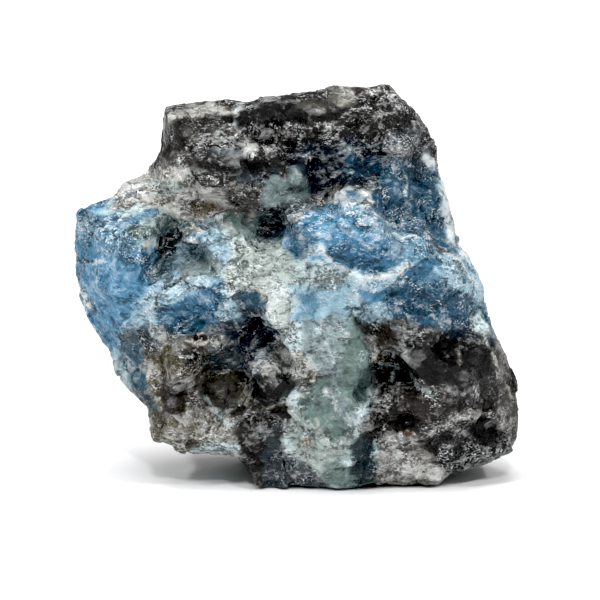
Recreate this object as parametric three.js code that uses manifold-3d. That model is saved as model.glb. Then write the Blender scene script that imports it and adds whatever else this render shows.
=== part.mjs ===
// Aquamarine in matrix: a hand-sized lump of smoky quartz, broken from its vein, with one large mass of
// blue and sea-green aquamarine grown through it.
//
// The lump is a broken stone, so its surface is a set of fracture faces. Each face is one flat facet with a
// place, a reach and a lean. The outline is the stone's own outline as it is seen from the front.
// The stone stands on a broken flat underneath. Units are millimetres, +X right, +Y to the back, +Z up.
// The origin is on that flat's level, under the middle of the stone.

import * as THREE from 'three';
import { mergeVertices } from 'three/addons/utils/BufferGeometryUtils.js';
import Module from 'manifold-3d';

// The outline is taken from a viewpoint this far above the horizon, in degrees, level with the front foot.
const VIEW_ELEVATION = 10;
const FOOT_Y = -14;

// The stone's outline from the front, [x, height], clockwise from the top left corner.
const OUTLINE = [
  // top edge of the quartz, rising to the peak
  [-23.2, 68.8], [-20.3, 69.4], [-11.2, 69.6], [-9.4, 69.2], [-5.8, 70.4], [-2.1, 71.0], [3.3, 71.6],
  [8.8, 72.6], [13.7, 72.6], [16.4, 73.2],
  // right side, from the peak down the long edge to the lower corner
  [19.1, 70.4], [22.1, 67.4], [24.2, 63.2], [25.5, 58.9], [26.4, 54.0], [28.2, 48.6], [29.1, 43.7],
  [30.9, 41.3], [33.1, 37.1], [34.5, 31.6], [37.0, 25.5], [39.1, 20.1], [40.2, 15.2], [40.2, 9.8],
  [38.7, 7.3], [38.5, 5.5],
  // underside: right overhang, resting feet, notch, left overhang
  [31.3, 3.8], [28.5, 3.4], [25.8, 1.2], [13.7, 0.6], [8.8, -0.4], [5.5, -0.2], [0.3, 1.4], [-0.6, -0.2],
  [-7.0, -0.2], [-7.6, 1.2], [-10.6, 5.8], [-11.8, 7.0], [-15.5, 7.3], [-20.3, 6.7],
  // left side, up round the blue lobe and the step above it
  [-25.2, 8.8], [-26.7, 11.6], [-27.0, 14.6], [-30.9, 17.9], [-33.4, 21.3], [-34.0, 24.9], [-35.8, 27.3],
  [-37.9, 31.0], [-39.4, 35.2], [-40.5, 39.5], [-40.8, 44.3], [-40.1, 48.6], [-39.4, 50.4], [-34.9, 51.8],
  [-32.3, 52.8], [-31.1, 55.9], [-26.1, 57.4], [-25.5, 59.5], [-24.0, 62.8], [-23.9, 67.1],
];

// Fracture faces of the front: x, z, how far the face stands out from the stone's middle, and how much it
// leans outwards for each millimetre to the right and upwards.
const FRONT_FACES = [
  // the layered quartz along the top
  { x: -17, z: 66.5, reach: 12.0, right: 0.05, up: -1.3 },
  { x: -5, z: 68.5, reach: 12.5, right: 0.0, up: -0.9 },
  { x: 9, z: 70.5, reach: 11.0, right: -0.15, up: -1.0 },
  { x: -18, z: 62, reach: 15.0, right: 0.1, up: -0.1 },
  { x: -4, z: 64, reach: 12.5, right: 0.1, up: 0.1 },
  { x: 7, z: 65.5, reach: 14.5, right: -0.1, up: -0.1 },
  { x: 18, z: 66, reach: 11.0, right: -0.5, up: -0.3 },
  { x: 20, z: 59, reach: 10.0, right: -0.8, up: 0.05 },
  // the rounded bar of quartz, and the shelf and hollow beside it
  { x: -16, z: 57.5, reach: 19.0, right: 0.1, up: -0.35 },
  { x: -6, z: 58.5, reach: 18.5, right: -0.1, up: -0.35 },
  { x: 1, z: 61, reach: 15.0, right: -0.2, up: 0.1 },
  { x: -15, z: 53, reach: 13.0, right: 0.1, up: 0.4 },
  { x: -5, z: 54, reach: 15.0, right: 0.0, up: 0.1 },
  { x: 4, z: 56, reach: 11.0, right: -0.1, up: 0.3 },
  { x: 12, z: 60, reach: 12.0, right: -0.3, up: 0.1 },
  // the receding blue plane at the upper right, with the white wedge at its foot
  { x: 19, z: 51.5, reach: 12.5, right: -0.6, up: -0.1 },
  { x: 25.5, z: 46, reach: 8.5, right: -1.1, up: -0.1 },
  { x: 10, z: 53.5, reach: 16.5, right: 0.1, up: -0.5 },
  // the domed blue mass with its raised rim
  { x: 2, z: 49.5, reach: 19.0, right: 0.1, up: -0.45 },
  { x: 9, z: 47, reach: 21.0, right: -0.1, up: -0.2 },
  { x: 1, z: 43.5, reach: 20.0, right: 0.2, up: 0.1 },
  { x: 14, z: 42, reach: 20.5, right: -0.15, up: 0.15 },
  { x: 21, z: 41, reach: 18.0, right: -0.4, up: -0.1 },
  { x: 30, z: 37, reach: 12.0, right: -1.0, up: 0.0 },
  { x: 26, z: 31, reach: 15.0, right: -0.5, up: 0.15 },
  { x: 16, z: 33, reach: 17.5, right: -0.1, up: 0.25 },
  // the pale band through the middle, down to its foot
  { x: -27, z: 52, reach: 10.5, right: 0.3, up: -0.9 },
  { x: -18, z: 49.5, reach: 15.5, right: 0.2, up: -0.4 },
  { x: -12, z: 45, reach: 18.0, right: 0.1, up: -0.1 },
  { x: -5, z: 49.5, reach: 12.5, right: 0.2, up: 0.5 },
  { x: -7, z: 41, reach: 20.0, right: 0.1, up: 0.05 },
  { x: -1, z: 36, reach: 22.0, right: -0.1, up: -0.2 },
  { x: 7, z: 37, reach: 19.0, right: 0.1, up: 0.1 },
  { x: 3, z: 29, reach: 20.5, right: 0.2, up: 0.1 },
  { x: 8, z: 25, reach: 21.0, right: 0.15, up: 0.15 },
  { x: 2, z: 17, reach: 17.5, right: 0.2, up: 0.1 },
  { x: 8, z: 14, reach: 19.0, right: 0.05, up: 0.2 },
  { x: 5, z: 5, reach: 15.5, right: 0.05, up: 0.4 },
  // the dark quartz at the lower right, with its two hollows
  { x: 15, z: 22, reach: 12.5, right: 0.1, up: 0.0 },
  { x: 19, z: 28, reach: 17.0, right: 0.0, up: -0.2 },
  { x: 24, z: 23, reach: 18.0, right: -0.15, up: 0.0 },
  { x: 17, z: 14.5, reach: 17.5, right: 0.1, up: 0.1 },
  { x: 27, z: 15, reach: 18.0, right: -0.2, up: 0.15 },
  { x: 36, z: 21, reach: 11.0, right: -1.0, up: 0.0 },
  { x: 33, z: 10.5, reach: 10.5, right: -0.2, up: 0.3 },
  { x: 21, z: 6, reach: 15.5, right: -0.1, up: 0.5 },
  { x: 33, z: 6, reach: 13.5, right: -0.3, up: 0.3 },
  // the lower left block with its deep niche, and the dark foot
  { x: -28, z: 23, reach: 11.5, right: 0.8, up: 0.15 },
  { x: -20.5, z: 25, reach: 18.0, right: 0.2, up: -0.2 },
  { x: -24, z: 17, reach: 14.0, right: 0.6, up: 0.1 },
  { x: -13.5, z: 18, reach: 9.5, right: 0.1, up: 0.1 },
  { x: -19, z: 12, reach: 16.0, right: 0.25, up: 0.6 },
  { x: -10, z: 11, reach: 16.5, right: 0.1, up: 0.35 },
  { x: -5, z: 19, reach: 17.5, right: -0.1, up: 0.1 },
  { x: -4, z: 7, reach: 15.0, right: 0.1, up: 0.15 },
  // the deep blue hollow and the slope to its left
  { x: -6.5, z: 28.5, reach: 12.5, right: 0.0, up: 0.1 },
  { x: -13, z: 33.5, reach: 18.5, right: 0.1, up: 0.35 },
  { x: -19, z: 30.5, reach: 15.5, right: 0.2, up: 0.1 },
  // the blue lobe at the left and the dark pit behind its shoulder
  { x: -23, z: 36.5, reach: 16.5, right: 0.3, up: -0.1 },
  { x: -23, z: 43.5, reach: 9.0, right: 0.1, up: 0.1 },
  { x: -31, z: 48, reach: 12.5, right: 0.3, up: -0.5 },
  { x: -32, z: 41, reach: 14.0, right: 0.4, up: -0.1 },
  { x: -31, z: 33, reach: 11.5, right: 0.6, up: 0.25 },
  { x: -37.5, z: 42, reach: 8.0, right: 1.2, up: 0.0 },
];

// Fracture faces of the back, in the same terms.
const BACK_FACES = [
  { x: -2, z: 40, reach: 20.0, right: 0.1, up: 0.15 },
  { x: -15, z: 46, reach: 16.0, right: 0.3, up: -0.2 },
  { x: -12, z: 32, reach: 17.0, right: 0.15, up: 0.2 },
  { x: 11, z: 30, reach: 19.0, right: -0.1, up: 0.2 },
  { x: 10, z: 50, reach: 17.0, right: -0.2, up: -0.3 },
  { x: 21, z: 42, reach: 14.5, right: -0.6, up: -0.1 },
  { x: 29, z: 22, reach: 12.5, right: -0.8, up: 0.1 },
  { x: 20, z: 16, reach: 16.5, right: -0.2, up: 0.3 },
  { x: -2, z: 57, reach: 14.0, right: 0.0, up: -0.3 },
  { x: 14, z: 64, reach: 10.0, right: -0.3, up: -0.6 },
  { x: -8, z: 66, reach: 10.5, right: 0.1, up: -0.7 },
  { x: -19, z: 59, reach: 10.0, right: 0.5, up: -0.3 },
  { x: -33, z: 44, reach: 9.0, right: 0.8, up: -0.1 },
  { x: -31, z: 32, reach: 11.5, right: 0.7, up: 0.2 },
  { x: -20, z: 18, reach: 12.0, right: 0.4, up: 0.4 },
  { x: -5, z: 16, reach: 17.0, right: 0.1, up: 0.3 },
  { x: 9, z: 8, reach: 14.0, right: -0.1, up: 0.5 },
];
const FACE_BLEND = 0.55; // width over which one face turns into the next
const BORDER = { stray: 1.3, pitch: 12, bend: 18 }; // how far, and over what lengths, face borders stray

// The outline narrows towards the back and the front, outside this span of y and above the feet.
const RIM = { front: -9, back: 5, slope: 0.55, above: 8, fade: 10 };

// The flat that the stone stands on: a rectangle, the margin round it over which the chips of the underside
// begin, and the slope at which the underside leaves it.
const FLAT = { left: -7.5, right: 27, front: -13, back: 13.5, margin: 5 };
const UNDERSIDE_SLOPE = 0.52;

// Broken steps and chips: the size of a chip and how far it stands in or out. Layers run along x.
const CHIPS = [
  { size: 9.0, depth: 1.9, along: 1.0 },
  { size: 4.6, depth: 1.1, along: 1.0 },
];
const LAYERS = { size: 4.6, depth: 1.7, along: 3.4, above: 51, fade: 4 };
const CHIP_BLEND = 0.09; // share of a chip over which it turns into the next
const OUTLINE_RELIEF = 0.3; // share of the chips' depth that shows in the outline
const UNDERSIDE_RELIEF = 0.6; // and in the underside

// The mesh is cast outwards from a lens inside the stone.
const LENS = { x: 24, y: 5, z: 21, height: 36 };
const CAST_FROM = 52; // farthest that the surface can be from the lens
const CAST_STEP = 0.6;
const CAST_HALVINGS = 9;
const STONE_DETAIL = 15;

// The aquamarine: rounded masses grown into each other, each with a centre, half-sizes and a turn about Y.
const MASSES = [
  { name: 'left lobe', at: [-35, 0, 38.5], half: [14, 24, 16], turn: 0 },
  { name: 'shoulder', at: [-25, -9, 48], half: [12, 14, 7], turn: 10 },
  { name: 'pale band', at: [-17, -13, 40], half: [18, 17, 8], turn: 28 },
  { name: 'left slope', at: [-15, -15, 33], half: [13, 14, 6], turn: 20 },
  { name: 'centre', at: [-3, -15, 41], half: [12.5, 18, 11], turn: 0 },
  { name: 'deep blue', at: [-4, -16, 30], half: [9, 15, 9], turn: 0 },
  { name: 'dome', at: [12, -13, 43], half: [15, 18, 9.5], turn: -12 },
  { name: 'upper right', at: [20, -5, 49], half: [14, 16, 9.5], turn: -32 },
  { name: 'right edge', at: [28, -4, 37], half: [11, 17, 8], turn: -22 },
  { name: 'column', at: [5.5, -15, 26], half: [8, 17, 17], turn: 4 },
  { name: 'foot', at: [5, -14, 8], half: [7, 14, 13], turn: 0 },
];
const MASS_DETAIL = 2;
const MASS_ROUGHNESS = 0.1; // share of a mass's size by which its skin wanders
const MASS_LUMP = 0.45; // size of the lumps on it, as a share of the mass
const SEAM = 0.3; // clearance between the aquamarine and the quartz

const MICRON = 1e-3;
const HASH = { i: 127.1, j: 311.7, k: 74.7, channel: 53.3, scale: 43758.5453 }; // scrambles a cell's numbers

// A repeatable random number from 0 to 1 for a whole-number cell.
function cellRandom(i, j, k, channel) {
  const phase = i * HASH.i + j * HASH.j + k * HASH.k + channel * HASH.channel;
  const wave = Math.sin(phase) * HASH.scale;
  return wave - Math.floor(wave);
}

// Flat chips at random tilts: how far the chip under a point stands out, from about -1 to 1.
function chipRelief(x, y, z, size, along) {
  const px = x / (size * along);
  const py = y / (size * along);
  const pz = z / size;
  const chips = [];
  for (let i = Math.floor(px) - 1; i <= Math.floor(px) + 1; i++)
    for (let j = Math.floor(py) - 1; j <= Math.floor(py) + 1; j++)
      for (let k = Math.floor(pz) - 1; k <= Math.floor(pz) + 1; k++) {
        const dx = px - i - cellRandom(i, j, k, 0);
        const dy = py - j - cellRandom(i, j, k, 1);
        const dz = pz - k - cellRandom(i, j, k, 2);
        const [right, back, up] = [3, 4, 5].map((channel) => cellRandom(i, j, k, channel) - 0.5);
        chips.push({
          gap: Math.hypot(dx, dy, dz),
          relief: cellRandom(i, j, k, 6) - 0.5 + 2 * (dx * right + dy * back + dz * up),
        });
      }
  return blendNearest(chips, CHIP_BLEND);
}

// The relief of the nearest of several faces, turning into the next nearest over a short width.
function blendNearest(faces, width) {
  const least = Math.min(...faces.map((face) => face.gap));
  let weight = 0;
  let relief = 0;
  for (const face of faces) {
    const share = Math.exp((least - face.gap) / width);
    weight += share;
    relief += share * face.relief;
  }
  return relief / weight;
}

// Signed distance to the outline: negative inside.
function outlineDistance(u, v) {
  let nearest = Infinity;
  let inside = false;
  OUTLINE.forEach(([ax, ay], i) => {
    const [bx, by] = OUTLINE[(i + 1) % OUTLINE.length];
    const along = ((u - ax) * (bx - ax) + (v - ay) * (by - ay)) / ((bx - ax) ** 2 + (by - ay) ** 2);
    const t = Math.min(1, Math.max(0, along));
    nearest = Math.min(nearest, Math.hypot(u - ax - t * (bx - ax), v - ay - t * (by - ay)));
    if (ay > v !== by > v && u < ax + ((v - ay) / (by - ay)) * (bx - ax)) inside = !inside;
  });
  return inside ? -nearest : nearest;
}

// An uneven sideways wave, so that the borders between the faces aren't straight.
function borderStray(along, across) {
  const bend = Math.sin((2 * Math.PI * across) / BORDER.bend);
  return BORDER.stray * Math.sin((2 * Math.PI * along) / BORDER.pitch + 2 * bend);
}

// How far the front or the back stands out at x, z: each face holds round its own centre.
function faceReach(faces, x, z) {
  const strayX = x + borderStray(z, x);
  const strayZ = z + borderStray(x, z);
  const near = faces.map((face) => ({
    gap: Math.hypot(strayX - face.x, strayZ - face.z),
    relief: face.reach + face.right * (x - face.x) + face.up * (z - face.z),
  }));
  return blendNearest(near, FACE_BLEND);
}

// The stone as a field: below zero inside it, zero on its skin.
const tilt = THREE.MathUtils.degToRad(VIEW_ELEVATION);
function stoneField(x, y, z) {
  const seenHeight = (y - FOOT_Y) * Math.sin(tilt) + z * Math.cos(tilt);
  const offFlat = Math.hypot(
    Math.max(FLAT.left - x, x - FLAT.right, 0),
    Math.max(FLAT.front - y, y - FLAT.back, 0),
  );
  const underside = UNDERSIDE_SLOPE * offFlat - z;
  const aboveFeet = THREE.MathUtils.smoothstep(z, RIM.above, RIM.above + RIM.fade);
  const narrowing = RIM.slope * aboveFeet * Math.max(RIM.front - y, y - RIM.back, 0);
  let relief = 0;
  for (const chip of CHIPS) relief += chip.depth * chipRelief(x, y, z, chip.size, chip.along);
  const layered = THREE.MathUtils.smoothstep(z, LAYERS.above, LAYERS.above + LAYERS.fade);
  relief += layered * LAYERS.depth * chipRelief(x, y, z, LAYERS.size, LAYERS.along);
  return Math.max(
    outlineDistance(x, seenHeight) + narrowing - OUTLINE_RELIEF * relief,
    -y - faceReach(FRONT_FACES, x, z) - relief,
    y - faceReach(BACK_FACES, x, z) - relief,
    underside - UNDERSIDE_RELIEF * relief * Math.min(1, offFlat / FLAT.margin),
    -z,
  );
}

// A ball of radius 1, with its shared vertices merged so that it is closed.
function unitBall(detail) {
  const ball = new THREE.IcosahedronGeometry(1, detail);
  ball.deleteAttribute('normal');
  ball.deleteAttribute('uv');
  return mergeVertices(ball, MICRON);
}

// The stone's skin: every vertex of a fine ball is cast outwards from the lens until it leaves the stone.
function stoneGeometry() {
  const geometry = unitBall(STONE_DETAIL);
  const position = geometry.attributes.position;
  const start = new THREE.Vector3();
  const way = new THREE.Vector3();
  const at = new THREE.Vector3();
  const fieldAt = (far) => {
    at.copy(start).addScaledVector(way, far);
    return stoneField(at.x, at.y, at.z);
  };
  for (let i = 0; i < position.count; i++) {
    way.fromBufferAttribute(position, i);
    start.set(way.x * LENS.x, way.y * LENS.y, way.z * LENS.z + LENS.height);
    way.set(way.x / LENS.x, way.y / LENS.y, way.z / LENS.z).normalize();
    let outer = CAST_FROM;
    while (outer > CAST_STEP && fieldAt(outer - CAST_STEP) > 0) outer -= CAST_STEP;
    let inner = outer - CAST_STEP;
    for (let n = 0; n < CAST_HALVINGS; n++) {
      const middle = (inner + outer) / 2;
      if (fieldAt(middle) > 0) outer = middle;
      else inner = middle;
    }
    fieldAt(outer);
    position.setXYZ(i, at.x, at.y, Math.max(at.z, 0));
  }
  return geometry;
}

// One rounded mass of aquamarine, grown outwards by a clearance.
function massGeometry(mass, index, clearance) {
  const geometry = unitBall(MASS_DETAIL);
  const position = geometry.attributes.position;
  const turn = new THREE.Matrix4().makeRotationY(THREE.MathUtils.degToRad(-mass.turn));
  const point = new THREE.Vector3();
  for (let i = 0; i < position.count; i++) {
    point.fromBufferAttribute(position, i);
    const wander = 1 + MASS_ROUGHNESS * chipRelief(point.x, point.y + index, point.z, MASS_LUMP, 1);
    point.set(
      point.x * (mass.half[0] * wander + clearance),
      point.y * (mass.half[1] * wander + clearance),
      point.z * (mass.half[2] * wander + clearance),
    );
    point.applyMatrix4(turn);
    position.setXYZ(i, point.x + mass.at[0], point.y + mass.at[1], point.z + mass.at[2]);
  }
  return geometry;
}

const wasm = await Module();
wasm.setup();

function toSolid(geometry) {
  return new wasm.Manifold(
    new wasm.Mesh({
      numProp: 3,
      vertProperties: new Float32Array(geometry.attributes.position.array),
      triVerts: new Uint32Array(geometry.index.array),
    }),
  );
}

function toGeometry(solid) {
  const mesh = solid.getMesh();
  const geometry = new THREE.BufferGeometry();
  geometry.setAttribute('position', new THREE.BufferAttribute(mesh.vertProperties, 3));
  geometry.setIndex(new THREE.BufferAttribute(mesh.triVerts, 1));
  geometry.computeVertexNormals();
  return geometry;
}

// All the masses as one solid, grown by a clearance.
function aquamarineMass(clearance) {
  const solids = MASSES.map((mass, index) => toSolid(massGeometry(mass, index, clearance)));
  return solids.reduce((whole, solid) => whole.add(solid));
}

const stone = toSolid(stoneGeometry());

const aquamarine = new THREE.Mesh(
  toGeometry(stone.intersect(aquamarineMass(0))),
  new THREE.MeshStandardMaterial({ color: 0x3f78a8, roughness: 0.3, metalness: 0 }),
);
aquamarine.name = 'aquamarine';

const matrix = new THREE.Mesh(
  toGeometry(stone.subtract(aquamarineMass(SEAM))),
  new THREE.MeshStandardMaterial({ color: 0x2c2926, roughness: 0.35, metalness: 0 }),
);
matrix.name = 'smoky_quartz_matrix';

const specimen = new THREE.Group();
specimen.add(matrix, aquamarine);

// Bring the middle of the stone, seen from above, on to the origin.
const middle = new THREE.Box3().setFromObject(specimen).getCenter(new THREE.Vector3());
specimen.position.set(-middle.x, -middle.y, 0);

export default specimen;
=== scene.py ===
import itertools
import math

import bpy
import numpy as np
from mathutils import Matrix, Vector
from mathutils.bvhtree import BVHTree


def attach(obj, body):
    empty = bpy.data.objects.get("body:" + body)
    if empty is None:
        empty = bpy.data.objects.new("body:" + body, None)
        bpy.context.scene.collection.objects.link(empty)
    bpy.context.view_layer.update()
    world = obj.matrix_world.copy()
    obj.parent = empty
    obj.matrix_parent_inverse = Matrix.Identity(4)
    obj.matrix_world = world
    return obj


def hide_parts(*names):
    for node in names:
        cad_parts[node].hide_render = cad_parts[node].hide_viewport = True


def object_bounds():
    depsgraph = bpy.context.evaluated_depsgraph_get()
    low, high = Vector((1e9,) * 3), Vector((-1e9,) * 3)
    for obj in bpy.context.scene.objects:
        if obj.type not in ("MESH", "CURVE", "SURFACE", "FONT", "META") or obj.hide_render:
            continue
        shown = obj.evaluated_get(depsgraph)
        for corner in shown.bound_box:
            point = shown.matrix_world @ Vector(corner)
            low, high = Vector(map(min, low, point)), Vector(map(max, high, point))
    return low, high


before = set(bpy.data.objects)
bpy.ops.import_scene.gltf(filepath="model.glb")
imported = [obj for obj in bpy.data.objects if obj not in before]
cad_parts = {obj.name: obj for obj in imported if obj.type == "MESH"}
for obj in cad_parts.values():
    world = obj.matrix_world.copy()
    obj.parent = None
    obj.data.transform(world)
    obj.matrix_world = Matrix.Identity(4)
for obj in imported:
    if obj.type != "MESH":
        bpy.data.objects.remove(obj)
cad_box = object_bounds()

# The viewpoint. The stone is seen level with its wide face, from ten degrees above the table, through a
# long lens half a metre away. The patches and veins further down are laid out as they are seen from here.
view_height = math.radians(10)
view_distance = 500.0
view_aim = np.array([0.55, 0.0, 32.57])
toward_stone = np.array([0.0, math.cos(view_height), -math.sin(view_height)])
upward = np.array([0.0, math.sin(view_height), math.cos(view_height)])
viewpoint = view_aim - view_distance * toward_stone
picture_width = 109.8
sensor_width = 36.0

lens = bpy.data.cameras.new("long_lens")
lens.sensor_width = sensor_width
lens.lens = sensor_width * view_distance / picture_width
lens.clip_start = 0.05
lens.clip_end = 30.0
camera = bpy.data.objects.new("camera", lens)
bpy.context.scene.collection.objects.link(camera)
camera.location = Vector(viewpoint / 1000)
camera.rotation_euler = Vector(toward_stone).to_track_quat("-Z", "Y").to_euler()
bpy.context.scene.camera = camera


# The smoky quartz matrix. It is the dark, glassy rock that the crystals grew in: layered along the top,
# broken into blocks at both lower corners, and brown-black where it is thick and clean. It was struck from
# its vein, so every face of it is a fracture, and thin grey and white cracks run all through it.

def cell_number(cell, channel):
    """A repeatable random number from 0 to 1 for each whole-numbered cell."""
    phase = cell @ np.array([127.1, 311.7, 74.7]) + 53.3 * channel
    wave = np.sin(phase) * 43758.5453
    return wave - np.floor(wave)


def cloud(place, size, seed):
    """A smooth wandering value from -1 to 1, of a size in mm."""
    grid = place / np.asarray(size, float)
    base = np.floor(grid)
    part = grid - base
    part = part * part * (3 - 2 * part)
    total = np.zeros(len(place))
    for step in itertools.product((0, 1), repeat=3):
        share = np.prod(np.where(np.array(step) == 1, part, 1 - part), 1)
        total += share * cell_number(base + step, seed)
    return 2 * total - 1


def smooth(value, low, high):
    """0 below low, 1 above high, and a soft slope between."""
    share = np.clip((value - low) / (high - low), 0, 1)
    return share * share * (3 - 2 * share)


def seen(place):
    """Where points in mm are in the picture: mm to the right of and above its middle."""
    offset = place - viewpoint
    scale = view_distance / (offset @ toward_stone)
    return offset[:, 0] * scale, (offset @ upward) * scale


def line_distance(across, up, corners):
    """Distance in mm to an open line."""
    nearest = np.full(len(across), 1e9)
    for (ax, ay), (bx, by) in zip(corners, corners[1:]):
        run, rise = bx - ax, by - ay
        share = ((across - ax) * run + (up - ay) * rise) / (run * run + rise * rise + 1e-9)
        share = np.clip(share, 0, 1)
        nearest = np.minimum(nearest, np.hypot(across - ax - share * run, up - ay - share * rise))
    return nearest


def outline_distance(across, up, corners):
    """Distance in mm to a closed outline, negative inside it."""
    inside = np.zeros(len(across), bool)
    for (ax, ay), (bx, by) in zip(corners, corners[1:] + corners[:1]):
        if ay != by:
            crossing = (ay > up) != (by > up)
            inside ^= crossing & (across < ax + (up - ay) / (by - ay) * (bx - ax))
    nearest = line_distance(across, up, corners + corners[:1])
    return np.where(inside, -nearest, nearest)


def course(places):
    """Places in the picture, typed as dots of 0.183 mm counted right and down from its top left corner, as
    mm to the right of and above its middle, to a tenth of a mm."""
    middle = 300
    dot = 0.183
    pairs = [place.split(",") for place in places.split()]
    return [(round((float(x) - middle) * dot, 1), round((middle - float(y)) * dot, 1)) for x, y in pairs]


def tone(code):
    """An sRGB hex colour as three numbers from 0 to 1."""
    return np.array([int(code[n : n + 2], 16) / 255 for n in (0, 2, 4)])


def linear(colour):
    """sRGB to linear."""
    colour = np.asarray(colour, float)
    return np.where(colour <= 0.04045, colour / 12.92, ((colour + 0.055) / 1.055) ** 2.4)


# The tones of the two minerals and their stains: smoky quartz from clean black glass to grey crush, the
# stains, and beryl from black-blue to white crush and sea green.
tones = {
    "clean black": tone("0b0a0a"),
    "smoky black": tone("1f1d1b"),
    "smoky brown": tone("2a2622"),
    "smoky grey": tone("514f4a"),
    "worn grey": tone("8d8b85"),
    "grey crush": tone("b9b8b2"),
    "cream": tone("d8d4c6"),
    "tan": tone("8a7f68"),
    "olive brown": tone("3d371f"),
    "olive grey": tone("5f5b4c"),
    "rust": tone("8a6428"),
    "slate": tone("384146"),
    "blue black": tone("101f2d"),
    "teal black": tone("14282d"),
    "teal": tone("2b5264"),
    "deep blue": tone("234e66"),
    "strong blue": tone("336989"),
    "sky blue": tone("4e87a9"),
    "grey blue": tone("44667e"),
    "dusty blue": tone("618ea7"),
    "pale blue": tone("94b6c6"),
    "ice": tone("c6d9dc"),
    "white crush": tone("e4eaea"),
    "pale green": tone("a3b0ab"),
    "sea grey": tone("7f9091"),
    "sea green": tone("637873"),
}

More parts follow.
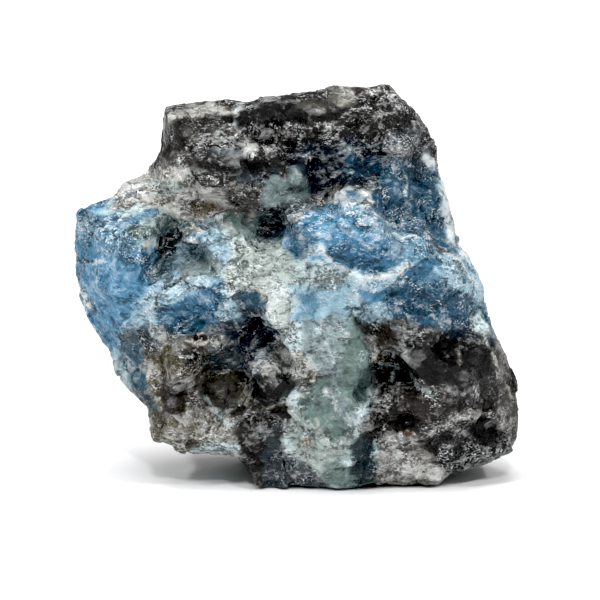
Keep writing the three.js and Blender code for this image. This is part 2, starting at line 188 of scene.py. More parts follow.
# The patches of the stone's broken face: tone, how far its light and dark parts spread, the angle of its
# grain in degrees, how far it stands out in mm, how cracked it is from 0 to 1, and its outline in picture
# dots.
patches = [
    ("quartz along the top", "smoky black", 1.8, 8, 0, 0.7,
     "160,165 164,116 168,108 235,106 245,108 285,99 340,93 385,85 400,96 432,140 436,160 380,172 "
     "320,200 262,205 250,190 190,182"),
    ("left block's face", "smoky black", 1.3, 12, 0, 0.45,
     "163,118 238,116 240,136 215,140 190,152 163,162"),
    ("left block's dark edge", "smoky black", 0.8, 70, -0.2, 0.3,
     "162,120 182,126 186,150 170,162 160,160"),
    # The left block's top is painted pale grey as the light that falls on it from above.
    ("left block's top, painted lit from above", "grey crush", 1.3, 5, 0, 0.8,
     "168,108 200,103 236,107 232,114 200,120 168,121"),
    ("grey layer under the left block", "smoky grey", 1.5, 18, 0.3, 0.85,
     "185,131 215,126 239,117 240,137 205,140 190,152"),
    ("crumbled end of the left block", "smoky grey", 1.5, 60, 0, 0.85,
     "160,160 185,150 195,150 192,180 175,178 158,172"),
    ("cream notch", "white crush", 0.5, 80, 0.1, 0.4, "234,105 245,108 241,118 239,130 233,124"),
    ("near-black layer", "clean black", 0.6, 8, 0.3, 0.1,
     "240,114 285,100 322,99 330,118 290,125 240,128"),
    ("grey smooth layer", "smoky grey", 1, 8, 0.2, 0.4, "300,101 345,91 362,91 356,108 320,114 290,112"),
    ("worn grey top", "grey crush", 1.2, 15, 0, 0.8, "338,93 360,90 356,104 340,106"),
    ("black ledge", "clean black", 0.5, 10, -0.3, 0,
     "283,119 330,113 355,104 398,101 392,107 345,121 300,126"),
    ("brown-grey peak", "smoky brown", 2, 20, 0.3, 0.85, "355,92 385,85 404,98 392,103 362,105"),
    ("speckled band", "smoky black", 1.7, 12, 0.2, 0.55,
     "245,128 330,121 395,107 420,120 428,142 400,142 330,146 250,146"),
    ("dark run", "blue black", 1.3, 5, -0.2, 0.6, "285,146 340,142 400,140 388,156 345,154 300,160"),
    ("grey chips", "slate", 1.3, 25, 0.3, 0.9, "385,142 420,140 428,154 388,154"),
    ("white crumbled chip", "grey crush", 1.2, 20, 0.2, 1, "240,143 262,140 262,158 242,157"),
    ("rounded bar, lit side", "slate", 0.8, 4, 0.3, 0.2, "200,150 240,145 246,158 203,161"),
    ("rounded bar", "clean black", 0.5, 3, 0.2, 0, "190,160 280,156 283,170 240,175 195,177"),
    ("rounded bar's brown end", "smoky brown", 0.8, 80, 0, 0.4,
     "187,158 203,158 203,178 194,182 187,172"),
    # Painted shade: the slate band under the rounded bar stands for the shadow that the bar casts.
    ("painted shade under the bar", "slate", 1.2, 10, -0.1, 0.3, "238,172 284,166 280,179 258,187 240,187"),
    ("blue-black hollow", "blue black", 1, 8, -0.2, 0.3,
     "290,160 340,160 382,156 386,172 368,182 330,189 316,200 300,186 290,174"),
    ("sea-grey shelf", "sea grey", 1.3, 30, 0.2, 0.6, "258,184 292,170 303,172 320,202 300,206 264,207"),
    ("crumbled shoulder", "grey crush", 1.6, 150, 0, 1,
     "118,202 125,182 150,176 160,163 190,168 195,182 250,190 262,202 255,215 236,226 222,214 200,212 "
     "190,206 165,216 130,208"),
    ("grey-green stain", "pale green", 1.4, 150, 0, 0.75, "150,180 175,178 182,192 160,196 150,188"),
    ("grey crumble at the step", "white crush", 1.6, 20, 0.2, 0.9,
     "118,200 126,182 150,178 150,190 134,202"),
    ("olive-brown patch", "tan", 1.1, 150, -0.1, 0.5, "193,200 214,198 222,206 205,213 193,208"),
    ("dark crumble", "smoky grey", 1.5, 20, -0.1, 0.85, "225,192 262,189 262,205 246,224 226,206"),
    ("slate recess", "sea green", 1.1, 60, -0.2, 0.45, "222,208 250,212 252,232 240,238 226,224"),
    ("dark gash", "slate", 1.4, 30, 0, 0.9, "256,236 264,214 286,205 312,200 302,214 290,226 264,241"),
    ("upper right plane", "deep blue", 1.4, 80, 0, 0.75,
     "376,168 426,156 438,172 450,208 457,244 440,240 415,228 392,214 374,204 378,186"),
    ("upper right plane, dark top", "deep blue", 1.7, 5, 0, 0.6,
     "345,158 425,154 434,168 420,174 380,176 345,172"),
    ("grey-blue steps", "slate", 1.2, 12, 0.2, 0.8, "385,126 422,128 432,156 385,160"),
    ("worn blue plane", "grey blue", 1.3, 150, 0, 0.85,
     "372,206 392,206 420,216 442,242 405,242 372,224"),
    ("lilac-grey patch", "grey blue", 1.2, 60, 0.1, 0.5, "392,178 408,178 408,196 394,200"),
    # The thin clear rim is painted white for the light that shines through it from behind.
    ("thin clear rim, painted backlit white", "white crush", 1.4, 110, 0, 0.6,
     "427,150 437,160 453,214 461,252 451,244 444,212 432,172 423,156"),
    ("dome", "sky blue", 1.5, 150, 0.2, 0.75,
     "284,246 290,226 308,208 342,205 366,224 386,244 396,262 360,271 334,263 325,252 308,259 291,256"),
    ("dome's blue hollow", "strong blue", 1.5, 10, -0.1, 0.5,
     "318,247 345,238 395,244 391,262 356,273 330,262"),
    ("dome's left cheek", "deep blue", 1.2, 40, 0.1, 0.4, "284,234 308,224 316,240 300,256 288,250"),
    ("white wedge", "white crush", 1.6, 15, 0.4, 0.9, "322,199 345,189 362,188 376,203 364,213 345,205"),
    ("wedge's blue window", "deep blue", 0.8, 15, 0.1, 0, "342,193 358,192 360,200 346,201"),
    ("brown-grey knob", "white crush", 1.3, 60, 0.2, 0.85, "362,184 371,177 379,190 372,199 362,193"),
    ("streaked grey slope", "dusty blue", 1.4, 152, 0.2, 1,
     "360,214 400,224 440,246 425,258 398,242 374,240"),
    ("pale right shoulder", "pale blue", 1.4, 155, 0.3, 0.85,
     "398,262 440,252 462,258 480,292 476,304 456,288 440,292 405,278"),
    ("blue window in the shoulder", "strong blue", 0.8, 60, -0.1, 0.5,
     "408,266 424,255 438,262 438,282 412,288"),
    ("deep blue right mass", "deep blue", 1.8, 120, 0, 0.85,
     "360,292 400,281 446,286 480,302 480,332 440,336 400,326 384,312"),
    ("blue-black right mass", "blue black", 1, 120, 0, 0.6,
     "396,322 440,330 480,324 488,346 482,372 420,366 396,342"),
    ("white corner", "ice", 1.3, 130, 0.2, 0.8, "468,314 482,316 494,338 480,334"),
    ("pale centre", "ice", 1.7, 50, 0, 0.8,
     "214,218 255,242 290,256 326,262 362,276 362,322 356,372 372,396 352,430 350,484 300,482 284,460 "
     "284,402 300,382 256,352 272,330 264,292 228,292 214,262"),
    ("bright crumbled centre", "pale green", 2, 60, 0.2, 1,
     "224,240 262,250 284,262 296,300 284,342 268,326 264,294 226,292"),
    ("clear green centre", "pale green", 1.4, 60, 0, 0.7, "236,246 290,240 296,272 262,286 240,276"),
    ("pale blue zone", "pale blue", 0.9, 50, 0, 0.5, "286,286 352,284 352,316 310,332 290,318"),
    ("blue patch", "dusty blue", 0.9, 50, 0, 0.5, "298,294 314,294 318,316 301,320"),
    ("pale bridge", "pale blue", 1.4, 20, 0.2, 0.9, "350,276 398,268 400,282 362,292 352,318 344,312"),
    ("small blue window", "sky blue", 0.5, 10, -0.1, 0.3, "360,290 386,287 381,303 362,303"),
    ("speckled corner", "pale blue", 1.6, 30, 0.1, 1, "354,302 384,303 392,318 372,324 354,320"),
    ("column", "sea grey", 1.6, 75, 0, 0.8,
     "306,320 356,320 358,362 370,384 366,400 350,428 326,412 304,398 318,372 306,346"),
    ("column's green edge", "sea green", 1, 80, 0, 0.6,
     "350,330 362,330 370,376 370,398 352,410 342,382"),
    ("dark stripe at the edge", "sea green", 0.8, 88, -0.2, 0.3, "356,322 366,322 368,352 358,352"),
    ("foot", "pale green", 1.4, 70, 0, 0.8, "284,402 352,416 351,448 340,460 346,486 320,482 290,456"),
    ("foot's green shade", "sea green", 1.2, 75, 0, 0.5,
     "300,376 330,382 340,412 350,430 330,440 312,424 296,400"),
    ("foot's dark toe", "sea green", 0.9, 20, 0, 0.6, "324,466 346,462 372,474 370,484 326,485"),
    ("crumbled edge of the hollow", "grey crush", 1.9, 45, 0.2, 1,
     "256,366 284,348 304,350 320,374 306,392 272,376"),
    ("brown chip", "olive brown", 1, 50, 0.2, 0.4, "303,374 310,367 312,372 305,382"),
    ("blue lobe", "sky blue", 1.5, 20, 0, 0.75,
     "76,214 130,203 165,215 152,236 146,256 152,270 140,300 122,330 113,350 96,336 80,300 72,260 72,236"),
    ("lobe's streaked shoulder", "dusty blue", 1.5, 6, 0.2, 0.8,
     "78,213 130,203 152,214 142,232 120,243 76,238"),
    ("lobe's pale top", "ice", 0.8, 5, 0, 0.75, "80,212 130,203 160,208 120,216 84,219"),
    ("lobe's blue layer", "sky blue", 1.1, 3, -0.1, 0.4, "76,244 112,244 132,256 104,261 76,261"),
    ("lobe's plain face", "sky blue", 1.6, 40, 0, 0.4, "80,266 142,264 140,288 118,326 98,322 84,290"),
    ("lobe's lower end", "sky blue", 0.9, 60, 0, 0.5, "92,318 118,318 116,348 104,342"),
    ("grey veil", "dusty blue", 1.4, 38, 0.2, 0.85, "98,250 128,238 150,231 152,239 130,256 108,259"),
    ("shade above the pit", "sea green", 1.4, 14, 0, 0.85,
     "128,228 162,215 190,220 186,232 160,232 136,238"),
    ("dark pit", "teal black", 1.5, 40, 0, 0.75,
     "152,230 178,225 192,232 186,249 170,264 158,271 150,262 158,250 150,240"),
    ("pinkish chip", "cream", 1, 10, 0.3, 0.5, "138,243 152,241 157,249 146,252 139,250"),
    ("pale diagonal band", "pale blue", 1.5, 42, 0.2, 0.85,
     "118,336 134,304 158,268 188,236 214,224 232,240 232,262 216,282 196,293 166,310 140,336"),
    ("green shade in the band", "sea grey", 1.1, 40, -0.1, 0.5,
     "176,264 206,254 224,262 218,276 184,286"),
    ("blue slope", "strong blue", 1.5, 25, 0, 0.6,
     "150,332 160,312 198,292 222,280 228,300 212,320 186,331 160,336"),
    ("dark under the slope", "slate", 1.2, 15, -0.2, 0.65,
     "118,336 150,324 172,334 166,350 140,362 122,352"),
    ("deep blue hollow", "blue black", 1.3, 50, -0.1, 0.5,
     "238,296 262,289 268,310 263,320 277,330 271,346 255,362 236,366 224,350 240,330 240,310"),
    ("hollow's blue arch", "teal", 1.1, 30, 0, 0.4, "234,294 262,289 265,308 246,311"),
    ("white crumble in the hollow", "pale blue", 1.9, 50, 0.3, 1,
     "216,300 240,300 246,316 234,323 218,318"),
    ("hollow's blue window", "blue black", 0.8, 50, 0, 0.35, "222,326 240,320 241,340 226,341"),
    ("slate ledge", "slate", 0.9, 8, 0.2, 0.6, "204,343 240,346 247,364 208,369"),
    ("lower left block", "olive grey", 1.6, 60, 0, 0.75,
     "140,350 205,338 207,370 242,372 244,386 250,410 247,446 190,453 158,442 148,412 138,380"),
    ("grey crumbled ledge", "worn grey", 1.9, 10, 0.2, 1,
     "160,338 205,332 240,338 238,346 196,348 160,350"),
    ("olive spot", "olive brown", 0.9, 60, 0, 0.35, "158,351 172,347 178,362 168,373 156,366"),
    ("white-speckled corner", "grey crush", 1.9, 50, 0.2, 1, "139,360 158,357 160,378 142,379"),
    ("brown window", "smoky brown", 1.2, 60, -0.2, 0.6, "182,345 204,343 206,366 186,371"),
    ("smooth smoky window", "smoky brown", 1.2, 80, 0, 0.35, "162,382 184,380 184,419 162,418"),
    ("pale lower edge", "worn grey", 1.3, 20, 0.1, 0.8, "158,426 180,428 182,444 166,442"),
    ("grey web right of the window", "worn grey", 1.6, 60, 0.1, 1,
     "186,378 204,392 214,412 244,420 244,440 200,440 188,420"),
    ("niche", "smoky grey", 1.1, 70, -0.15, 0.5,
     "198,381 216,374 242,378 243,400 232,411 213,411 203,396"),
    ("niche's grey window", "worn grey", 1, 100, -0.15, 0.4, "210,385 225,385 228,402 215,402"),
    ("teal plane", "teal", 1.1, 100, 0, 0.5,
     "118,346 132,336 142,350 138,366 150,386 157,410 140,402 127,386 120,366"),
    ("slate lower plane", "teal black", 1, 130, 0, 0.5, "130,384 150,388 155,410 134,400"),
    ("thin clear edge", "ice", 0.6, 110, 0, 0.5, "110,346 117,351 122,370 131,393 119,386 111,370"),
    ("underside strip", "ice", 1.9, 5, 0, 0.7, "190,447 220,441 240,444 238,452 215,453 190,455"),
    ("dark rock right of the niche", "clean black", 1.1, 40, 0, 0.35,
     "246,378 292,374 296,386 276,402 252,408"),
    ("dark foot", "smoky black", 1.6, 75, 0, 0.55,
     "232,410 264,404 288,404 284,456 297,476 292,490 256,490 238,456"),
    ("slate window in the foot", "slate", 1.1, 85, 0, 0.4, "258,430 282,428 283,460 265,463"),
    ("green-grey toe", "slate", 1.4, 60, 0, 0.6, "262,458 296,456 332,488 264,488"),
    ("lower right block", "smoky black", 1.5, 30, 0, 0.55,
     "358,324 400,324 482,338 518,400 518,446 482,468 445,472 358,484 356,432 372,400 372,366"),
    ("brown-black window", "smoky brown", 0.6, 85, -0.1, 0.25, "378,325 398,325 399,348 381,350"),
    ("black right zone", "clean black", 0.7, 120, 0, 0.3, "412,342 482,346 494,384 430,392 402,368"),
    ("brown smooth zone", "smoky brown", 0.8, 10, 0, 0.4, "393,392 456,396 458,412 400,416"),
    ("right bevel", "smoky grey", 1.3, 115, 0, 0.7,
     "482,332 494,346 514,396 519,430 510,447 497,420 500,382 488,356"),
    ("brown pit", "smoky brown", 0.8, 20, -0.3, 0.2, "373,367 390,364 396,372 392,381 376,381"),
    ("pale cracked window", "worn grey", 1.6, 30, 0.2, 1,
     "374,438 400,428 426,440 452,466 446,480 380,482 372,458"),
    ("pale lower window", "grey crush", 1.6, 25, 0.1, 1, "396,456 440,458 448,478 392,480"),
    ("teal-black edge", "teal black", 1, 80, 0, 0.6, "352,436 374,438 380,470 374,484 352,472"),
    ("teal toe", "teal black", 1, 60, 0, 0.3, "354,462 378,469 374,484 350,480"),
    # The curved hollow's clean black is partly the glass's own black and partly painted shade inside the
    # hollow.
    ("curved hollow", "clean black", 0.6, 20, -0.3, 0.1,
     "458,434 474,424 492,424 507,438 500,449 480,447 465,443"),
    ("layered lower edge", "clean black", 1.3, 12, 0.2, 0.75,
     "428,446 470,441 506,449 506,460 455,470 438,463"),
    ("black cleft", "clean black", 0.6, 12, -0.3, 0.3, "422,441 450,436 466,440 440,449 424,447"),
]

# The veins, cracks and stains: tone, width in mm, and course in picture dots.
veins = [
    ("white rim of the dome", "white crush", 0.5,
     "286,224 298,213 318,203 340,203 358,211 372,222 384,234 400,238 416,238 438,248 458,260 476,288"),
    ("second rim of the dome", "white crush", 0.3, "372,214 384,222 396,226 412,236 430,240"),
    ("white crumble under the dome", "white crush", 1.3,
     "300,258 312,249 322,246 328,257 344,270 366,279 392,272 410,264"),
    ("white line on the lobe", "white crush", 0.5, "77,262 90,264 105,260"),
    ("white chip on the lobe", "white crush", 1, "82,291 85,299 91,304"),
    ("cream line on the left block", "ice", 0.4, "213,136 225,131 237,125"),
    ("bright line by the hollow", "white crush", 0.35, "288,158 298,154 311,158"),
    # Partly white crushed flakes and partly painted glints.
    ("white specks and painted glints in the hollow", "ice", 0.3, "334,174 344,169 352,172"),
    ("white star", "white crush", 0.3, "326,137 329,146 342,144"),
    ("arc over the hollow", "ice", 0.3, "339,154 350,148 359,154"),
    # Partly grey-white crushed flakes and partly painted glints.
    ("white specks and painted glints on the speckled band", "grey crush", 0.35, "280,128 292,124 306,128 322,124 336,128"),
    ("line along the upper layer", "grey crush", 0.3, "340,118 352,110 368,108"),
    ("line on the peak", "grey crush", 0.35, "360,97 376,92 396,97"),
    ("grey line right of the peak", "worn grey", 0.3, "372,118 392,112 404,104"),
    # Partly white crumble and partly a painted highlight where the bar's top edge catches the light.
    ("white crumble and painted highlight on the bar's top edge", "white crush", 0.9, "243,146 252,153 264,150"),
    ("light line under the bar", "grey crush", 0.4, "190,180 214,182 236,184 256,190"),
    ("cream fan on the shoulder", "cream", 0.35, "178,196 186,208 200,218 206,226"),
    ("cream fan, second rib", "cream", 0.3, "168,206 180,212 194,226 204,232"),
    ("cream fan, third rib", "cream", 0.3, "210,196 222,202 236,208 246,220"),
    ("white edge below the pit", "white crush", 0.6, "146,276 160,262 172,248 184,240 196,238"),
    ("white veins beside the centre", "white crush", 0.7, "226,236 232,250 240,262 252,270"),
    ("white vein down the centre", "white crush", 0.5, "226,262 236,276 250,284 262,288"),
    ("white crumble left of the hollow", "white crush", 0.6, "214,290 230,294 240,290 258,288"),
    ("white vein in the band", "white crush", 0.4, "136,322 156,300 176,286 200,276"),
    ("pale line at the slope", "white crush", 0.35, "151,318 149,326 152,334"),
    ("white streaks on the slope", "white crush", 0.5, "178,334 190,324 204,316"),
    ("second streak on the slope", "ice", 0.3, "176,328 188,318 198,314"),
    ("cream line over the brown window", "cream", 0.5, "186,343 204,344 212,342"),
    ("white edge of the hollow", "white crush", 0.6, "252,364 262,353 272,345 286,341 294,337"),
    ("second edge of the hollow", "white crush", 0.4, "262,360 276,352 288,346"),
    ("thin line in the hollow", "ice", 0.3, "222,346 236,342 242,334"),
    ("thin arc in the hollow", "ice", 0.3, "236,322 240,334 238,344"),
    ("tan line over the niche", "worn grey", 0.6, "200,376 224,371 248,370 258,360"),
    ("web right of the niche", "ice", 0.35, "250,376 252,390 244,402 232,411 214,412"),
    ("second web right of the niche", "cream", 0.3, "246,380 247,392 238,403"),
    ("white web on the left block", "cream", 0.3, "196,392 188,404 186,416"),
    ("slanting web on the left block", "ice", 0.3, "206,396 216,412 228,424 232,436"),
    ("cream vein above the foot", "cream", 0.6, "262,410 280,404 296,397 310,395"),
    ("cream vein by the column", "cream", 0.8, "298,352 308,362 316,374 312,382"),
    ("white spot on the column", "white crush", 0.7, "326,390 334,400 340,412"),
    ("vein up the column", "ice", 0.4, "318,330 328,346 334,362"),
    ("vein down the foot", "grey crush", 0.4, "316,420 324,438 332,452"),
    ("white edge of the foot", "white crush", 0.4, "284,420 285,438 291,454 295,466"),
    ("lower vein of the foot", "grey crush", 0.4, "300,448 306,462 318,474"),
    ("white patch by the brown pit", "white crush", 1.2, "384,354 398,352 411,350"),
    ("cream patch above the brown pit", "cream", 0.8, "371,340 376,350 374,360"),
    ("white web, upper arm", "ice", 0.45, "380,364 396,366 410,374 420,386 434,397"),
    ("white web, lower arm", "ice", 0.4, "396,368 392,380 378,388 374,398"),
    ("white hook", "grey crush", 0.35, "370,413 384,411 391,404 386,394"),
    ("line across the pale window", "white crush", 0.4, "371,454 388,450 401,444 399,430"),
    ("curve in the pale window", "white crush", 0.4, "373,458 380,470 392,477 398,468"),
    ("rib in the pale window", "ice", 0.3, "398,450 396,464 403,480"),
    ("net in the pale window", "ice", 0.3, "374,440 376,450 380,462"),
    ("pale line over the curved hollow", "cream", 0.45, "446,424 462,417 482,414 496,418 504,428"),
    ("second line over the curved hollow", "worn grey", 0.3, "450,416 470,411 490,414"),
    ("edge of the bevel", "grey crush", 0.3, "484,334 498,366 512,398"),
    ("inner edge of the bevel", "worn grey", 0.3, "500,384 498,404 504,424"),
    ("white crumbs above the cleft", "grey crush", 0.6, "430,434 440,426 452,428 460,436"),
    ("cream streak in the black zone", "cream", 0.5, "457,348 460,356 461,364"),
    ("thin line in the black zone", "worn grey", 0.3, "424,331 440,329 450,325"),
    ("grey veil in the black zone", "worn grey", 0.5, "418,380 432,390 448,388"),
    ("white dots at the right", "grey crush", 0.6, "474,392 478,398"),
    ("pale line up the right plane", "ice", 0.3, "404,176 408,184 404,192"),
    # Partly pale crushed flakes and partly painted glints.
    ("pale specks and painted glints on the right plane", "ice", 0.4, "404,196 408,206 412,216"),
    ("pale steps on the right plane", "ice", 0.35, "420,232 434,238 448,242"),
    ("yellow stain by the arch", "rust", 0.5, "259,288 263,291 266,296"),
    ("yellow stain by the pit", "rust", 0.45, "190,228 196,229"),
    ("yellow stain by the brown pit", "rust", 0.6, "380,356 385,357"),
    ("rust stain over the pale window", "rust", 0.9, "401,430 408,432 412,433"),
    ("rust spot on the foot", "rust", 0.5, "305,440 308,444"),
]

# The grain of a patch runs in one or two of these four ways, in degrees.
grain_ways = (10, 55, 100, 145)


def add(tree, kind, inputs=None, **settings):
    """A shader node with its settings, and its inputs set or linked."""
    made = tree.nodes.new(kind)
    for key, value in settings.items():
        setattr(made, key, value)
    for key, value in (inputs or {}).items():
        if isinstance(value, bpy.types.NodeSocket):
            tree.links.new(value, made.inputs[key])
        else:
            made.inputs[key].default_value = value
    return made


def facets(tree, place):
    """The small flat facets that the stone breaks into, 3.6, 1.5 and 0.6 mm across, from places in mm. The
    same nodes serve the mesh and the material. For each size they give the slope and height of the facet
    under a place, the way to its middle, how near its edge is, its own random colour and shade, and its
    polish. The real ones go down to a tenth of a millimetre, which is less than a picture dot, so they are
    drawn coarser."""
    wander = add(tree, "ShaderNodeTexNoise", {"Vector": place, "Scale": 0.35, "Detail": 3.0,
                                              "Roughness": 0.6})
    drift = add(tree, "ShaderNodeVectorMath", {0: wander.outputs["Color"], 1: (0.5, 0.5, 0.5)},
                operation="SUBTRACT")
    bent = add(tree, "ShaderNodeVectorMath", {0: drift.outputs[0], 1: (2.0, 2.0, 2.0), 2: place},
               operation="MULTIPLY_ADD")
    drawn = add(tree, "ShaderNodeVectorMath", {0: bent.outputs[0], 1: (0.7, 1.0, 1.0)}, operation="MULTIPLY")
    drawn = drawn.outputs[0]
    made = []
    for size, slope, lift in ((3.6, 0.8, 0.5), (1.5, 0.75, 0.2), (0.6, 0.6, 0.0)):
        cell = add(tree, "ShaderNodeTexVoronoi", {"Vector": drawn, "Scale": 1 / size})
        border = add(tree, "ShaderNodeTexVoronoi", {"Vector": drawn, "Scale": 1 / size},
                     feature="DISTANCE_TO_EDGE")
        number = add(tree, "ShaderNodeSeparateXYZ", {"Vector": cell.outputs["Color"]})
        lean = add(tree, "ShaderNodeVectorMath", {0: cell.outputs["Color"], 1: (0.5, 0.5, 0.5)},
                   operation="SUBTRACT")
        away = add(tree, "ShaderNodeVectorMath", {0: drawn, 1: cell.outputs["Position"]},
                   operation="SUBTRACT")
        rise = add(tree, "ShaderNodeVectorMath", {0: away.outputs[0], 1: lean.outputs[0]},
                   operation="DOT_PRODUCT")
        base = add(tree, "ShaderNodeMath", {0: number.outputs["Y"], 1: 2 * lift, 2: -lift},
                   operation="MULTIPLY_ADD")
        height = add(tree, "ShaderNodeMath", {0: rise.outputs["Value"], 1: slope, 2: base.outputs[0]},
                     operation="MULTIPLY_ADD")
        across = add(tree, "ShaderNodeVectorMath", {0: lean.outputs[0], 1: (0.7 * slope, slope, slope)},
                     operation="MULTIPLY")
        made.append({
            "slope": across.outputs[0],
            "height": height.outputs[0],
            "inward": away.outputs[0],
            "edge": border.outputs["Distance"],
            "own": cell.outputs["Color"],
            "shade": number.outputs["Z"],
            "polish": number.outputs["X"],
        })
    return made


def keep_facets(solid):
    """Writes the facets under each point of a mesh to its attributes, through a modifier."""
    tree = bpy.data.node_groups.new("facets_of_" + solid.name, "GeometryNodeTree")
    tree.interface.new_socket("Mesh", in_out="INPUT", socket_type="NodeSocketGeometry")
    tree.interface.new_socket("Mesh", in_out="OUTPUT", socket_type="NodeSocketGeometry")
    mesh = add(tree, "NodeGroupInput").outputs[0]
    metres = add(tree, "GeometryNodeInputPosition").outputs[0]
    place = add(tree, "ShaderNodeVectorMath", {0: metres, 1: (1000, 1000, 1000)}, operation="MULTIPLY")
    place = place.outputs[0]
    coarse, fine, _ = facets(tree, place)
    height = add(tree, "ShaderNodeMath", {0: coarse["height"], 1: fine["height"]}, operation="ADD").outputs[0]
    outward = add(tree, "GeometryNodeInputNormal").outputs[0]
    for name, kind, value in (
        ("place", "FLOAT_VECTOR", place),
        ("skin", "FLOAT_VECTOR", outward),
        ("height", "FLOAT", height),
        ("coarse_inward", "FLOAT_VECTOR", coarse["inward"]),
        ("fine_inward", "FLOAT_VECTOR", fine["inward"]),
    ):
        mesh = add(tree, "GeometryNodeStoreNamedAttribute", {"Geometry": mesh, "Name": name, "Value": value},
                   data_type=kind, domain="POINT").outputs[0]
    add(tree, "NodeGroupOutput", {0: mesh})
    keep = solid.modifiers.new("facets", "NODES")
    keep.node_group = tree


def plain_mesh(solid):
    """The mesh of an object with its modifiers worked in."""
    bpy.context.view_layer.update()
    return bpy.data.meshes.new_from_object(solid.evaluated_get(bpy.context.evaluated_depsgraph_get()))


def reach_over(mesh, neighbour):
    """Moves the skin that faces the other mineral across the hairline gap and a little into it."""
    reach = 0.0009
    overlap = 0.0004
    for point in mesh.vertices:
        spot, _, _, gap = neighbour.find_nearest(point.co, reach)
        if spot and gap > 1e-7:
            point.co = spot + (spot - point.co).normalized() * overlap


def fine_copy(name, node, point_spacing, neighbour):
    """An object with a fine mesh of a mineral's CAD solid, its points point_spacing mm apart. Where the
    mineral meets its neighbour it is first drawn out past the hairline gap between the two solids."""
    solid = bpy.data.objects.new(name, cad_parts[node].data.copy())
    bpy.context.scene.collection.objects.link(solid)
    weld = solid.modifiers.new("weld", "WELD")
    weld.merge_threshold = 1e-6
    if neighbour:
        merged = plain_mesh(solid)
        solid.modifiers.remove(weld)
        solid.data = merged
        reach_over(merged, neighbour)
    fine = solid.modifiers.new("fine", "REMESH")
    fine.mode = "VOXEL"
    fine.voxel_size = point_spacing / 1000
    keep_facets(solid)
    mesh = plain_mesh(solid)
    solid.modifiers.clear()
    solid.data = mesh
    mesh.name = name
    mesh.materials.clear()
    return solid


def read(mesh, name, width):
    """A mesh attribute as an array."""
    numbers = np.empty(len(mesh.vertices) * width)
    mesh.attributes[name].data.foreach_get("vector" if width == 3 else "value", numbers)
    return numbers.reshape(-1, width) if width > 1 else numbers


def hidden_side(place, ragged, hidden_tones, hidden_size):
    """The hidden side's colour: the mineral's own tones run into each other, with crushed pale bands across
    them. Also where those bands are."""
    shift = 0.5 + 0.8 * cloud(place + 1.5 * ragged[:, None], hidden_size, 40)
    shift = np.clip(shift, 0, 0.999) * (len(hidden_tones) - 1)
    step = shift.astype(int)
    part = smooth(shift - step, 0.2, 0.8)[:, None]
    mixed = np.array([tones[name] for name in hidden_tones])
    colour = mixed[step] * (1 - part) + mixed[step + 1] * part
    band = smooth(-np.abs(cloud(place + 0.8 * ragged[:, None], (16, 10, 9), 41)), -0.16, -0.02)
    colour += 0.55 * band[:, None] * (tones["grey crush"] - colour)
    return colour, band


def points_near(across, up, corners, margin, allowed):
    """The numbers of the allowed points within a margin in mm of an outline's box."""
    low, high = np.min(corners, 0) - margin, np.max(corners, 0) + margin
    near = (across > low[0]) & (across < high[0]) & (up > low[1]) & (up < high[1])
    return np.flatnonzero(near & allowed)


def stone_skin(place, towards, facing, hidden_tones, hidden_size):
    """Colour, contrast, light, grain, relief and cracks of the stone at points in mm, the same for both
    minerals. towards leads to the middle of each point's facet, because a facet is mostly of one colour.
    facing is how far a point looks towards the viewpoint. hidden_tones colour the back, in patches of
    hidden_size mm."""
    count = len(place)
    place = place + towards
    ragged = 0.9 * cloud(place, 4.5, 11) + 1.0 * cloud(place, 2.0, 12) + 0.9 * cloud(place, 0.95, 14)
    around = smooth(place[:, 1] + 2.0 * cloud(place, 6, 13), 1, 11)
    colour, band = hidden_side(place, ragged, hidden_tones, hidden_size)
    contrast = np.full(count, 1.3)
    raised = np.zeros(count)
    cracked = np.maximum(0.5 + 0.35 * cloud(place, 7, 15), band)
    grain = np.tile([0.7, 0.1, 0.1, 0.1], (count, 1))

    # The face: every patch in turn, with ragged edges and a few thin spots. What no patch has reached yet
    # is covered further out from each outline.
    across, up = seen(place)
    stray = 0.3 + 2.4 * around
    across = across + stray * cloud(place, 4.0, 16)
    up = up + stray * cloud(place, 4.0, 17)
    front = (1 - around) * smooth(facing, -0.9, -0.6)
    covering = 0.93 + 0.07 * cloud(place, 1.6, 20)
    bare = np.ones(count)
    for _, tone_name, patch_contrast, angle, rise, crackle, places in patches:
        corners = course(places)
        near = points_near(across, up, corners, 4, front > 0.01)
        if not len(near):
            continue
        depth = outline_distance(across[near], up[near], corners) + 0.6 * ragged[near]
        share = smooth(-depth, -0.6, 0.6) * covering[near]
        share = np.maximum(share, smooth(-depth, -2.5, -0.8) * bare[near]) * front[near]
        bare[near] *= 1 - share
        runs = np.cos(np.radians(2 * (angle - np.array(grain_ways)))) ** 3
        runs = np.clip(runs, 0, None)
        colour[near] += share[:, None] * (tones[tone_name] - colour[near])
        contrast[near] += share * (patch_contrast - contrast[near])
        raised[near] += smooth(-depth, -1.3, 1.3) * front[near] * (rise - raised[near])
        cracked[near] += share * (crackle - cracked[near])
        grain[near] += share[:, None] * (runs / runs.sum() - grain[near])

    # The veins and stains: broken lines, with crushed stone on both sides.
    across, up = seen(place - 0.8 * towards)
    breaks = smooth(cloud(place, 2.4, 18) + 0.8 * cloud(place, 0.9, 19), -0.5, 0.5)
    veined = np.zeros(count)
    for _, tone_name, width, places in veins:
        corners = course(places)
        near = points_near(across, up, corners, 2, front > 0.2)
        if not len(near):
            continue
        apart = line_distance(across[near], up[near], corners) + 0.22 * ragged[near]
        share = smooth(-apart, -0.5 * width - 0.25, -0.1 * width) * (0.55 + 0.45 * breaks[near]) * front[near]
        crushed = smooth(-apart, -0.8 * width - 1.0, -0.3 * width) * front[near]
        colour[near] += 0.85 * share[:, None] * (tones[tone_name] - colour[near])
        cracked[near] = np.maximum(cracked[near], crushed)
        veined[near] = np.maximum(veined[near], share)
    light = 0.6 * cloud(place, (6, 3.5, 2.8), 90) * (1 - veined)
    return colour, contrast, light, grain, raised + 0.1 * veined, np.clip(cracked, 0, 1)


